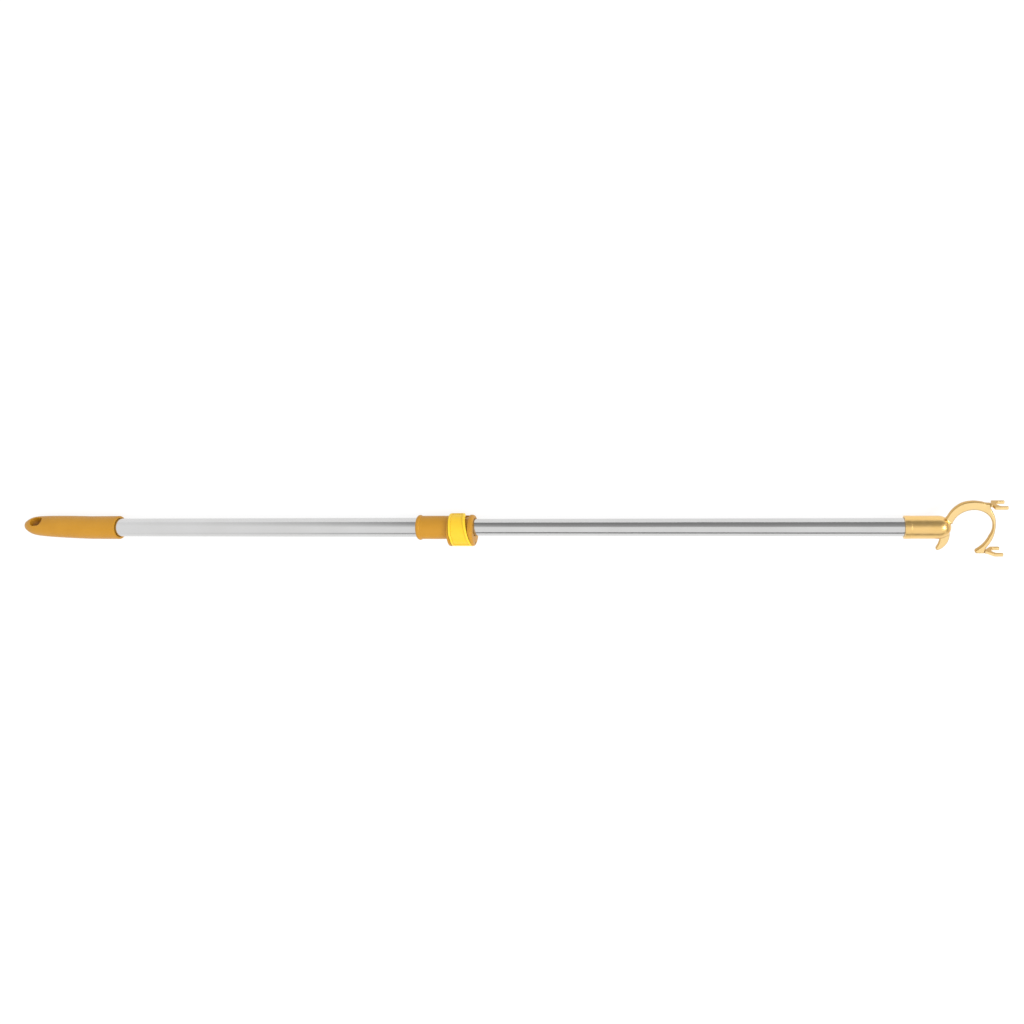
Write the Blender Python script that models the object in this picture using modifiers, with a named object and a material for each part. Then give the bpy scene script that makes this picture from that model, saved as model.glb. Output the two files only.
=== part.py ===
"""A telescopic reach pole with a hooked head: grip, two tubes, a flip-lever clamp and a cast hook.

The pole lies along +X with the head at +X. The hook lies in the XY plane.
The handle side (grip, outer tube, clamp) is turned about the pole by HANDLE_CLOCK.
Lengths are in metres. Positions along the pole are measured from the middle of the object.
"""

import math

import bmesh
import bpy
from mathutils import Matrix, Vector

MM = 0.001
GAP = 0.3 * MM  # clearance between neighbouring pieces
STEPS = 48  # segments round a large turned piece
SMALL_STEPS = 20  # segments round a pin or a screw

# Along the pole
GRIP_TIP_X = -563.8 * MM
GRIP_RIM_X = -431.5 * MM
OUTER_TAIL_X = -500.0 * MM
CLAMP_TAIL_X = -49.5 * MM
OUTER_FRONT_X = -20.0 * MM
CLAMP_FRONT_X = 17.2 * MM
INNER_TAIL_X = -41.0 * MM
SOCKET_MOUTH_X = 469.5 * MM
INNER_FRONT_X = 497.5 * MM
DOME_END_X = 514.6 * MM
HOOK_X = 534.0 * MM  # centre of the round hook
FORK_TIP_X = 563.8 * MM

# Tubes
OUTER_R = 11.0 * MM
INNER_R = 9.5 * MM
WALL = 0.5 * MM

# Grip
GRIP_R = 14.1 * MM
NOSE_START_X = -470.0 * MM  # forward of here the grip is straight
NOSE_RISE = 0.0274  # rise of the grip's centre line for each metre behind NOSE_START_X
HANG_HOLE_X = -543.0 * MM
HANG_HOLE_HALF_LENGTH = 8.4 * MM
HANG_HOLE_HALF_WIDTH = 5.8 * MM
HANG_HOLE_TILT = math.radians(32.0)  # the hole's axis, turned from the grip's own Z towards its Y

# Clamp body: a round sleeve that swells into an eccentric barrel with the lever's hinge below
SLEEVE_R = 13.2 * MM
SLEEVE_BEAD_R = 14.3 * MM
BARREL_R = 17.75 * MM
BARREL_Y = -3.45 * MM
BARREL_TAIL_X = -12.0 * MM
LAND_R = 16.3 * MM  # the barrel under the lever
LAND_Y = -3.3 * MM
FLANGE_TAIL_X = 12.0 * MM  # the front flange starts here above the middle

# The handle side is turned about the pole, and the pole lies on its barrel
HANDLE_CLOCK = math.radians(-22.0)
AXIS_Z = BARREL_R - BARREL_Y * math.sin(HANDLE_CLOCK)

# Lever: a half band, hinged below the tube on a pin that runs along the pole
LEVER_R = 18.74 * MM
LEVER_Y = -2.5 * MM
LEVER_INNER_R = LAND_R + GAP
LEVER_TAIL_X = -9.7 * MM
LEVER_HEEL_X = -8.5 * MM  # the tail edge turns in to here beside the hinge
LEVER_TAIL_LEAN = math.tan(math.radians(4.5))
LEVER_FRONT_X = 11.0 * MM
LEVER_FRONT_LEAN = math.tan(math.radians(12.0))
LEVER_END = 86.0  # degrees from +Z towards +Y, where the free end is
LEVER_CORNER_LENGTH = 7.0 * MM
LEVER_CORNER_WIDTH = 2.0 * MM
HINGE_Y = -17.4 * MM
HINGE_PIN_R = 1.25 * MM
KNUCKLE_R = 3.7 * MM
CAM_R = 3.9 * MM
CAM_OFFSET = 0.5 * MM
POCKET_R = 4.8 * MM
POCKET_TAIL_X = -9.2 * MM
POCKET_FRONT_X = 15.9 * MM
SHOE_X = 4.4 * MM
SHOE_LENGTH = 14.0 * MM
SHOE_WIDTH = 10.8 * MM

# Head
SOCKET_R = 11.95 * MM
SOCKET_BORE_R = INNER_R + GAP
HOOK_R = 19.4 * MM
HOOK_DEPTH = 6.0 * MM
FORK_THICK = 3.0 * MM
FORK_HALF_SPAN = 9.4 * MM
FORK_SLOT_HALF = 6.2 * MM
UPPER_FORK_Y = 23.9 * MM
LOWER_FORK_Y = -26.8 * MM
UPPER_BOSS_X = 549.0 * MM
LOWER_BOSS_X = 548.0 * MM
STEM_R = 0.8 * MM
STEM_LENGTH = 3.0 * MM

# Screws and pins
SCREW_R = 1.1 * MM
SCREW_HEAD_R = 2.1 * MM
CLAMP_SCREW_X = -36.0 * MM
HEAD_SCREW_X = 480.0 * MM
TAIL_PIN_X = -33.0 * MM
TAIL_PIN_R = 1.2 * MM


def clear_scene():
    for obj in list(bpy.data.objects):
        bpy.data.objects.remove(obj, do_unlink=True)


def new_collection(name):
    made = bpy.data.collections.new(name)
    bpy.context.scene.collection.children.link(made)
    return made


def make_material(name, color, roughness, metallic):
    made = bpy.data.materials.new(name)
    made.use_nodes = True
    shader = made.node_tree.nodes["Principled BSDF"]
    shader.inputs["Base Color"].default_value = (*color, 1.0)
    shader.inputs["Roughness"].default_value = roughness
    shader.inputs["Metallic"].default_value = metallic
    return made


clear_scene()
PARTS = new_collection("reach_pole")
CUTTERS = new_collection("cutters")
CUTTERS.hide_render = True

STEEL = make_material("stainless", (0.62, 0.62, 0.62), 0.22, 1.0)
GOLD = make_material("gold_plate", (0.86, 0.62, 0.27), 0.25, 1.0)
OCHRE = make_material("ochre_plastic", (0.62, 0.30, 0.03), 0.45, 0.0)
YELLOW = make_material("yellow_plastic", (0.95, 0.62, 0.02), 0.38, 0.0)
NYLON = make_material("white_nylon", (0.80, 0.79, 0.75), 0.50, 0.0)
RUBBER = make_material("black_rubber", (0.03, 0.03, 0.03), 0.75, 0.0)


def add_axis(name, clock):
    """An empty on the pole's axis, which carries the pieces of one side."""
    empty = bpy.data.objects.new(name, None)
    empty.location = (0.0, 0.0, AXIS_Z)
    empty.rotation_euler = (clock, 0.0, 0.0)
    PARTS.objects.link(empty)
    return empty


HANDLE = add_axis("handle_axis", HANDLE_CLOCK)
HEAD = add_axis("head_axis", 0.0)


def add_part(name, mesh, material, parent):
    mesh.shade_smooth()
    mesh.set_sharp_from_angle(angle=math.radians(35.0))
    mesh.materials.clear()
    mesh.materials.append(material)
    obj = bpy.data.objects.new(name, mesh)
    obj.parent = parent
    PARTS.objects.link(obj)
    return obj


def combine(target, mesh, operation, name):
    """Joins a mesh to the target or cuts it away. The helper keeps the target's parent."""
    helper = bpy.data.objects.new(name, mesh)
    helper.parent = target.parent
    helper.location = target.location
    helper.hide_render = True
    helper.display_type = "WIRE"
    CUTTERS.objects.link(helper)
    modifier = target.modifiers.new(name, "BOOLEAN")
    modifier.operation = operation
    modifier.object = helper


def cut(target, mesh, name):
    combine(target, mesh, "DIFFERENCE", name)


def join(target, mesh, name):
    combine(target, mesh, "UNION", name)


def baked(obj):
    """The object's evaluated mesh, with loose caps welded. The object is removed."""
    graph = bpy.context.evaluated_depsgraph_get()
    mesh = bpy.data.meshes.new_from_object(obj.evaluated_get(graph))
    mesh.transform(obj.matrix_world)
    shape = bmesh.new()
    shape.from_mesh(mesh)
    bmesh.ops.remove_doubles(shape, verts=shape.verts, dist=0.001 * MM)
    bmesh.ops.recalc_face_normals(shape, faces=shape.faces)
    shape.to_mesh(mesh)
    shape.free()
    bpy.data.objects.remove(obj, do_unlink=True)
    return mesh


def turned(profile, closed=False, steps=STEPS, centre_y=0.0):
    """A solid turned about the pole's axis from (x, radius) points; closed makes it a ring."""
    mesh = bpy.data.meshes.new("profile")
    count = len(profile)
    edges = [(i, (i + 1) % count) for i in range(count if closed else count - 1)]
    mesh.from_pydata([(radius, 0.0, x) for x, radius in profile], edges, [])
    obj = bpy.data.objects.new("profile", mesh)
    PARTS.objects.link(obj)
    screw = obj.modifiers.new("turn", "SCREW")
    screw.axis = "Z"
    screw.steps = steps
    screw.render_steps = steps
    screw.use_merge_vertices = True
    screw.merge_threshold = 0.001 * MM
    obj.rotation_euler = (0.0, math.radians(90.0), 0.0)
    obj.location = (0.0, centre_y, 0.0)
    bpy.context.view_layer.update()
    return baked(obj)


def rod(start, end, radius, steps=SMALL_STEPS):
    """A round bar from one point to another."""
    start, end = Vector(start), Vector(end)
    shape = bmesh.new()
    turn = (end - start).to_track_quat("Z", "Y").to_matrix().to_4x4()
    bmesh.ops.create_cone(
        shape,
        cap_ends=True,
        segments=steps,
        radius1=radius,
        radius2=radius,
        depth=(end - start).length,
        matrix=Matrix.Translation((start + end) / 2) @ turn,
    )
    mesh = bpy.data.meshes.new("rod")
    shape.to_mesh(mesh)
    shape.free()
    return mesh


def box(low, high):
    low, high = Vector(low), Vector(high)
    shape = bmesh.new()
    bmesh.ops.create_cube(
        shape,
        size=1.0,
        matrix=Matrix.Translation((low + high) / 2) @ Matrix.Diagonal((*(high - low), 1.0)),
    )
    mesh = bpy.data.meshes.new("box")
    shape.to_mesh(mesh)
    shape.free()
    return mesh


def plate(outline, half_thickness, bevel, turn=None):
    """A flat outline, filled and thickened both ways, with rounded edges."""
    curve = bpy.data.curves.new("outline", "CURVE")
    curve.dimensions = "2D"
    curve.fill_mode = "BOTH"
    curve.extrude = half_thickness - bevel
    curve.bevel_depth = bevel
    curve.bevel_resolution = 1
    curve.offset = -bevel
    spline = curve.splines.new("POLY")
    spline.points.add(len(outline) - 1)
    for point, (x, y) in zip(spline.points, outline):
        point.co = (x, y, 0.0, 1.0)
    spline.use_cyclic_u = True
    obj = bpy.data.objects.new("outline", curve)
    PARTS.objects.link(obj)
    bpy.context.view_layer.update()
    mesh = baked(obj)
    if turn:
        mesh.transform(turn)
    return mesh


def arc(centre, radius, start, end, count):
    """Points on a circle, from one angle in degrees to another."""
    points = []
    for i in range(count):
        angle = math.radians(start + (end - start) * i / (count - 1))
        points.append((centre[0] + radius * math.cos(angle), centre[1] + radius * math.sin(angle)))
    return points


def smooth_line(points, per_span=3):
    """A smooth open line through the given points."""
    line = []
    ends = [points[0]] + points + [points[-1]]
    for a, b, c, d in zip(ends, ends[1:], ends[2:], ends[3:]):
        for i in range(per_span):
            t = i / per_span
            weights = (
                -0.5 * t**3 + t**2 - 0.5 * t,
                1.5 * t**3 - 2.5 * t**2 + 1.0,
                -1.5 * t**3 + 2.0 * t**2 + 0.5 * t,
                0.5 * t**3 - 0.5 * t**2,
            )
            line.append(tuple(sum(w * p[k] for w, p in zip(weights, (a, b, c, d))) for k in (0, 1)))
    line.append(points[-1])
    return line


def half_band(inner, outer, start, end, tail_x, front_x, count=28):
    """A band round the pole between two circles, each (centre y, radius), over a range of angles.

    Angles run from the hinge side (-90) over the +Z side to the top (90).
    tail_x and front_x give the band's two edges from the height y and the angle.
    """
    shape = bmesh.new()
    rings = []
    for i in range(count):
        degrees = start + (end - start) * i / (count - 1)
        angle = math.radians(degrees)
        ring = []
        for centre, radius in (inner, outer):
            y = centre + radius * math.sin(angle)
            z = radius * math.cos(angle)
            ring.append(shape.verts.new((tail_x(y, degrees), y, z)))
            ring.append(shape.verts.new((front_x(y, degrees), y, z)))
        rings.append((ring[0], ring[1], ring[3], ring[2]))
    for ring, following in zip(rings, rings[1:]):
        for k in range(4):
            shape.faces.new((ring[k], ring[(k + 1) % 4], following[(k + 1) % 4], following[k]))
    shape.faces.new(rings[0])
    shape.faces.new(rings[-1])
    bmesh.ops.recalc_face_normals(shape, faces=shape.faces)
    mesh = bpy.data.meshes.new("half_band")
    shape.to_mesh(mesh)
    shape.free()
    return mesh


def tube_ring(tail, front, outer_radius, inner_radius):
    return [(tail, outer_radius), (front, outer_radius), (front, inner_radius), (tail, inner_radius)]


def make_grip():
    rim_round = 0.6 * MM
    profile = [(GRIP_TIP_X, 0.0)]
    for back, radius in ((0.3, 2.5), (1.4, 5.1), (4.2, 7.1), (7.0, 8.8), (12.8, 10.9), (18.5, 11.9)):
        profile.append((GRIP_TIP_X + back * MM, radius * MM))
    for back, radius in ((26.0, 12.5), (36.0, 13.0), (50.0, 13.45), (70.0, 13.8), (100.0, 14.0)):
        profile.append((GRIP_TIP_X + back * MM, radius * MM))
    profile.append((GRIP_RIM_X - 8.0 * MM, GRIP_R))
    profile.append((GRIP_RIM_X - rim_round, GRIP_R))
    profile.append((GRIP_RIM_X, GRIP_R - rim_round))
    profile.append((GRIP_RIM_X, 0.0))
    mesh = turned(profile)
    for vertex in mesh.vertices:
        vertex.co.y += NOSE_RISE * max(0.0, NOSE_START_X - vertex.co.x)
    grip = add_part("grip", mesh, OCHRE, HANDLE)
    bore = rod((OUTER_TAIL_X - GAP, 0, 0), (GRIP_RIM_X + MM, 0, 0), OUTER_R + GAP, STEPS)
    cut(grip, bore, "grip_bore")
    cut(grip, hang_hole(), "hang_hole")


def hang_hole():
    """An obround hole across the grip's nose."""
    straight = HANG_HOLE_HALF_LENGTH - HANG_HOLE_HALF_WIDTH
    outline = arc((straight, 0.0), HANG_HOLE_HALF_WIDTH, -90.0, 90.0, 11)
    outline += arc((-straight, 0.0), HANG_HOLE_HALF_WIDTH, 90.0, 270.0, 11)
    centre_y = NOSE_RISE * (NOSE_START_X - HANG_HOLE_X)
    place = Matrix.Translation((HANG_HOLE_X, centre_y, 0.0))
    turn = Matrix.Rotation(-HANG_HOLE_TILT, 4, "X")
    return plate(outline, 25.0 * MM, 0.0, place @ turn)


def make_outer_tube():
    mesh = turned(tube_ring(OUTER_TAIL_X, OUTER_FRONT_X - GAP, OUTER_R, OUTER_R - WALL), closed=True)
    tube = add_part("outer_tube", mesh, STEEL, HANDLE)
    hole = rod((CLAMP_SCREW_X, 0, -OUTER_R - MM), (CLAMP_SCREW_X, 0, -OUTER_R + 2 * WALL), SCREW_R + GAP)
    cut(tube, hole, "outer_tube_screw_hole")


def make_end_buffer():
    """A rubber disc in the tail of the outer tube, which stops the inner tube softly."""
    radius = OUTER_R - WALL - GAP
    profile = [(OUTER_TAIL_X + GAP, 0.0), (OUTER_TAIL_X + GAP, radius)]
    profile += [(OUTER_TAIL_X + 12.0 * MM, radius), (OUTER_TAIL_X + 14.0 * MM, 0.6 * radius)]
    profile += [(OUTER_TAIL_X + 14.0 * MM, 0.0)]
    add_part("end_buffer", turned(profile, steps=32), RUBBER, HANDLE)


def lever_tail_edge(y, clearance=0.0):
    straight = LEVER_TAIL_X - max(0.0, y) * LEVER_TAIL_LEAN
    t = min(1.0, max(0.0, (-7.0 * MM - y) / (8.0 * MM)))
    return straight + (LEVER_HEEL_X - straight) * t * t * (3.0 - 2.0 * t) - clearance


def lever_front_edge(y, clearance=0.0):
    return LEVER_FRONT_X + clearance - (y - LEVER_Y) * LEVER_FRONT_LEAN


def make_clamp_body():
    """The moulded sleeve on the outer tube, with the lever's seat, hinge ears and shoe window."""
    bead_end = CLAMP_TAIL_X + 5.0 * MM
    profile = [(CLAMP_TAIL_X, 0.0), (CLAMP_TAIL_X, SLEEVE_R - 0.2 * MM)]
    profile += [(CLAMP_TAIL_X + 1.3 * MM, SLEEVE_BEAD_R - 0.2 * MM)]
    profile += [(CLAMP_TAIL_X + 2.4 * MM, SLEEVE_BEAD_R), (bead_end - 1.5 * MM, SLEEVE_BEAD_R)]
    profile += [(bead_end - 0.6 * MM, SLEEVE_BEAD_R - 0.3 * MM), (bead_end, SLEEVE_R)]
    profile += [(BARREL_TAIL_X + 4.0 * MM, SLEEVE_R), (BARREL_TAIL_X + 4.0 * MM, 0.0)]
    body = add_part("clamp_body", turned(profile), OCHRE, HANDLE)
    edge = 1.0 * MM
    barrel = [(BARREL_TAIL_X, 0.0), (BARREL_TAIL_X, BARREL_R - edge), (BARREL_TAIL_X + edge, BARREL_R)]
    barrel += [(CLAMP_FRONT_X - 1.6 * edge, BARREL_R), (CLAMP_FRONT_X - 0.4 * edge, BARREL_R - 0.6 * edge)]
    barrel += [(CLAMP_FRONT_X, BARREL_R - 2.0 * edge), (CLAMP_FRONT_X, 0.0)]
    join(body, turned(barrel, centre_y=BARREL_Y), "barrel")
    rear_bore = rod((CLAMP_TAIL_X - MM, 0, 0), (OUTER_FRONT_X, 0, 0), OUTER_R + GAP, STEPS)
    cut(body, rear_bore, "rear_bore")
    front_bore = rod((OUTER_FRONT_X - MM, 0, 0), (CLAMP_FRONT_X + MM, 0, 0), INNER_R + 0.4 * MM, STEPS)
    cut(body, front_bore, "front_bore")
    seat = half_band(
        (LAND_Y, LAND_R),
        (LAND_Y, BARREL_R + 8.0 * MM),
        -112.0,
        112.0,
        lambda y, degrees: lever_tail_edge(y, 0.5 * MM),
        lambda y, degrees: max(lever_front_edge(y, 0.5 * MM), FLANGE_TAIL_X),
    )
    cut(body, seat, "lever_seat")
    pocket = rod((POCKET_TAIL_X, HINGE_Y, 0), (POCKET_FRONT_X, HINGE_Y, 0), POCKET_R, 32)
    cut(body, pocket, "knuckle_pocket")
    half = Vector((SHOE_LENGTH / 2 + GAP, 0.0, SHOE_WIDTH / 2 + GAP))
    window = box(
        Vector((SHOE_X, HINGE_Y + 2.0 * MM, 0.0)) - half, Vector((SHOE_X, -0.5 * INNER_R, 0.0)) + half
    )
    cut(body, window, "shoe_window")
    pin_hole = rod((BARREL_TAIL_X + 1.5 * MM, HINGE_Y, 0), (CLAMP_FRONT_X + MM, HINGE_Y, 0), HINGE_PIN_R + GAP)
    cut(body, pin_hole, "hinge_pin_hole")
    shank = rod((CLAMP_SCREW_X, 0, -SLEEVE_R - MM), (CLAMP_SCREW_X, 0, -OUTER_R + MM), SCREW_R + GAP)
    cut(body, shank, "clamp_screw_hole")
    seat_top = -SLEEVE_R + 1.2 * MM
    head = rod((CLAMP_SCREW_X, 0, -SLEEVE_R - MM), (CLAMP_SCREW_X, 0, seat_top), SCREW_HEAD_R + GAP)
    cut(body, head, "clamp_screw_seat")


def corner_inset(distance):
    """How far an edge has turned in, at a distance from the band's end, for an oval corner."""
    into = max(0.0, 1.0 - distance / LEVER_CORNER_LENGTH)
    return LEVER_CORNER_WIDTH * (1.0 - math.sqrt(1.0 - into**2))


def make_lever():
    def inset(degrees):
        return corner_inset(LEVER_R * math.radians(LEVER_END - degrees))

    band = half_band(
        (LAND_Y, LEVER_INNER_R),
        (LEVER_Y, LEVER_R),
        -96.0,
        LEVER_END,
        lambda y, degrees: lever_tail_edge(y) + inset(degrees),
        lambda y, degrees: lever_front_edge(y) - inset(degrees),
        40,
    )
    band.transform(Matrix.Translation((0.0, -HINGE_Y, 0.0)))
    lever = add_part("lever", band, YELLOW, HANDLE)
    lever.location = (0.0, HINGE_Y, 0.0)
    tail = lever_tail_edge(HINGE_Y)
    front = lever_front_edge(HINGE_Y)
    join(lever, rod((tail, 0, 0), (front, 0, 0), KNUCKLE_R, 32), "knuckle")
    join(lever, rod((tail + MM, CAM_OFFSET, 0), (front - MM, CAM_OFFSET, 0), CAM_R, 32), "cam")
    cut(lever, rod((tail - MM, 0, 0), (front + MM, 0, 0), HINGE_PIN_R + GAP), "lever_bore")


def make_hinge_pin():
    start = BARREL_TAIL_X + 1.5 * MM + GAP
    mesh = rod((start, HINGE_Y, 0), (CLAMP_FRONT_X - GAP, HINGE_Y, 0), HINGE_PIN_R)
    add_part("hinge_pin", mesh, STEEL, HANDLE)


def make_brake_shoe():
    """The pad between the lever's cam and the inner tube, with a hollow face for the tube."""
    cam_top = HINGE_Y + CAM_OFFSET + CAM_R + GAP
    low = Vector((SHOE_X - SHOE_LENGTH / 2, cam_top, -SHOE_WIDTH / 2))
    high = Vector((SHOE_X + SHOE_LENGTH / 2, -0.7 * INNER_R, SHOE_WIDTH / 2))
    shoe = add_part("brake_shoe", box(low, high), RUBBER, HANDLE)
    cut(shoe, rod((-30 * MM, 0, 0), (40 * MM, 0, 0), INNER_R + GAP, STEPS), "shoe_hollow")


def make_screw(name, x, parent, outside, tip, head_depth):
    """A countersunk-fit screw that enters from below, at -Z."""
    shank = rod((x, 0, -outside + head_depth / 2), (x, 0, -tip), SCREW_R)
    screw = add_part(name, shank, STEEL, parent)
    join(screw, rod((x, 0, -outside), (x, 0, -outside + head_depth - GAP), SCREW_HEAD_R), name + "_head")
    low = Vector((x - 1.5 * MM, -0.3 * MM, -outside - MM))
    high = Vector((x + 1.5 * MM, 0.3 * MM, -outside + 0.4 * MM))
    cut(screw, box(low, high), name + "_slot")


def make_inner_tube():
    mesh = turned(tube_ring(INNER_TAIL_X, INNER_FRONT_X, INNER_R, INNER_R - WALL), closed=True)
    tube = add_part("inner_tube", mesh, STEEL, HEAD)
    cut(tube, rod((TAIL_PIN_X, 0, -20 * MM), (TAIL_PIN_X, 0, 20 * MM), TAIL_PIN_R + GAP), "tail_pin_holes")
    hole = rod((HEAD_SCREW_X, 0, -20 * MM), (HEAD_SCREW_X, 0, 0), SCREW_R + GAP)
    cut(tube, hole, "head_screw_hole")


def make_tail_plug():
    """The plug in the tail of the inner tube, with a seat for the collar behind the tube."""
    spigot = INNER_R - WALL - GAP
    seat = 7.5 * MM
    tail = INNER_TAIL_X - 13.0 * MM
    profile = [(tail, 0.0), (tail, 9.1 * MM), (tail + 0.6 * MM, 9.7 * MM), (tail + 3.0 * MM, 9.7 * MM)]
    profile += [(tail + 3.0 * MM, seat), (INNER_TAIL_X, seat), (INNER_TAIL_X + 0.5 * MM, spigot)]
    profile += [(TAIL_PIN_X + 9.0 * MM, spigot), (TAIL_PIN_X + 9.0 * MM, 0.0)]
    plug = add_part("tail_plug", turned(profile, steps=32), NYLON, HEAD)
    hole = rod((TAIL_PIN_X, 0, -20 * MM), (TAIL_PIN_X, 0, 20 * MM), TAIL_PIN_R + GAP)
    cut(plug, hole, "tail_plug_hole")


def make_tail_collar():
    """The split ring that runs in the outer tube and meets the clamp when the pole is full out."""
    tail = INNER_TAIL_X - 10.0 * MM + GAP
    front = INNER_TAIL_X - GAP
    radius = OUTER_R - WALL - GAP
    profile = tube_ring(tail, front, radius, 7.5 * MM + GAP)
    collar = add_part("tail_collar", turned(profile, closed=True, steps=40), NYLON, HEAD)
    split = box((tail - MM, 0.0, -1.0 * MM), (front + MM, 2 * radius, 1.0 * MM))
    cut(collar, split, "collar_split")


def make_tail_pin():
    end = INNER_R - 0.15 * MM
    mesh = rod((TAIL_PIN_X, 0, -end), (TAIL_PIN_X, 0, end), TAIL_PIN_R)
    add_part("tail_pin", mesh, STEEL, HEAD)


def hook_outline():
    """The hook's outline in its own plane: a round hook that thins towards its free end."""
    outer = [(-28.0, 6.0), (-24.2, 11.3), (-21.0, 17.2), (-16.4, 22.6), (-10.0, 26.7), (-1.5, 28.3)]
    outer += [(6.5, 27.4), (11.0, 26.1), (15.0, 25.9)]
    right = [(15.3, 21.2), (17.7, 17.2), (19.8, 12.8), (21.2, 7.4), (21.7, 1.0), (21.3, -6.0)]
    right += [(19.8, -12.4), (17.3, -18.0), (15.2, -21.4)]
    foot = [(14.0, -24.6), (14.0, -28.1), (6.4, -28.1), (5.2, -27.2), (5.0, -26.0), (5.6, -24.8)]
    inner = [(5.6, -24.8), (9.9, -21.2), (13.4, -16.9), (16.1, -12.0)]
    centre = (HOOK_X, 0.0)
    points = smooth_line(outer) + smooth_line(right) + foot[:-1]
    points += smooth_line(inner)
    placed = [(HOOK_X + x * MM, y * MM) for x, y in points]
    return placed + arc(centre, HOOK_R, -30.0, 168.0, 26)


def spur_outline():
    """The small back-hook under the dome."""
    inner = [(-29.0, -8.0), (-29.4, -14.4), (-30.4, -18.6), (-32.1, -22.2)]
    tip = [(-32.3, -24.0), (-30.9, -24.9), (-28.2, -23.9)]
    outer = [(-28.2, -23.9), (-24.6, -20.6), (-21.8, -16.0), (-20.6, -11.0), (-20.4, -6.0)]
    points = smooth_line(inner) + tip[:-1] + smooth_line(outer)
    return [(HOOK_X + x * MM, y * MM) for x, y in points]


def make_hook_head():
    lip = SOCKET_MOUTH_X + 6.0 * MM
    dome = DOME_END_X - 12.5 * MM
    profile = [(SOCKET_MOUTH_X, 0.0), (SOCKET_MOUTH_X, SOCKET_R - 0.4 * MM), (SOCKET_MOUTH_X + 0.4 * MM, SOCKET_R)]
    profile += [(lip, SOCKET_R), (lip + 0.3 * MM, SOCKET_R - 0.15 * MM)]
    for i in range(9):
        angle = math.radians(90.0 * i / 8)
        along = dome + (DOME_END_X - dome) * math.sin(angle)
        profile.append((along, (SOCKET_R - 0.15 * MM) * math.cos(angle)))
    head = add_part("hook_head", turned(profile), GOLD, HEAD)
    join(head, plate(hook_outline(), HOOK_DEPTH / 2, 0.8 * MM), "hook_arm")
    join(head, plate(spur_outline(), 2.6 * MM, 0.8 * MM), "spur")
    bore = rod((SOCKET_MOUTH_X - MM, 0, 0), (INNER_FRONT_X + GAP, 0, 0), SOCKET_BORE_R, STEPS)
    cut(head, bore, "socket_bore")
    shank = rod((HEAD_SCREW_X, 0, -20 * MM), (HEAD_SCREW_X, 0, -8 * MM), SCREW_R + GAP)
    cut(head, shank, "head_shank_hole")
    seat = rod((HEAD_SCREW_X, 0, -20 * MM), (HEAD_SCREW_X, 0, -SOCKET_R + 1.0 * MM), SCREW_HEAD_R + GAP)
    cut(head, seat, "head_screw_seat")
    for name, x, y in (("upper", UPPER_BOSS_X, UPPER_FORK_Y), ("lower", LOWER_BOSS_X, LOWER_FORK_Y)):
        hole = rod((x - STEM_LENGTH - GAP, y, 0), (x + MM, y, 0), STEM_R + GAP)
        cut(head, hole, name + "_stem_hole")


def fork_outline(root_x, flare_x, slot_x):
    """One side runs from the root out to a tine's tip and back to the foot of the slot."""
    neck = 2.6 * MM
    side = [(root_x, neck), (root_x + 1.5 * MM, neck), (flare_x, FORK_HALF_SPAN)]
    side += [(FORK_TIP_X - 1.2 * MM, FORK_HALF_SPAN), (FORK_TIP_X, FORK_HALF_SPAN - 1.2 * MM)]
    side += [(FORK_TIP_X, FORK_SLOT_HALF + 0.6 * MM), (FORK_TIP_X - 0.6 * MM, FORK_SLOT_HALF)]
    side += [(slot_x + 3.2 * MM, FORK_SLOT_HALF), (slot_x + 0.8 * MM, 2.2 * MM), (slot_x, 0.7 * MM)]
    other = [(x, -z) for x, z in reversed(side)]
    return side + other


def make_fork(name, boss_x, height, flare, slot):
    root_x = boss_x + GAP
    stand = Matrix.Translation((0.0, height, 0.0)) @ Matrix.Rotation(math.radians(90.0), 4, "X")
    outline = fork_outline(root_x, root_x + flare, root_x + slot)
    fork = add_part(name, plate(outline, FORK_THICK / 2, 0.5 * MM, stand), GOLD, HEAD)
    stem = rod((boss_x - STEM_LENGTH, height, 0), (root_x + 2 * MM, height, 0), STEM_R)
    join(fork, stem, name + "_stem")


make_grip()
make_outer_tube()
make_end_buffer()
make_clamp_body()
make_screw("clamp_screw", CLAMP_SCREW_X, HANDLE, SLEEVE_R - 0.1 * MM, OUTER_R - 0.4 * MM, 1.2 * MM)
make_lever()
make_hinge_pin()
make_brake_shoe()
make_inner_tube()
make_tail_plug()
make_tail_collar()
make_tail_pin()
make_hook_head()
make_screw("head_screw", HEAD_SCREW_X, HEAD, SOCKET_R - 0.2 * MM, INNER_R - 0.4 * MM, 1.0 * MM)
make_fork("upper_fork", UPPER_BOSS_X, UPPER_FORK_Y, 2.2 * MM, 4.6 * MM)
make_fork("lower_fork", LOWER_BOSS_X, LOWER_FORK_Y, 7.0 * MM, 5.6 * MM)
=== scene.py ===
"""Looks for the telescopic reach pole: fine surfaces, materials, studio light and camera."""

import math

import bmesh
import bpy
from mathutils import Matrix, Vector, kdtree


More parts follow.
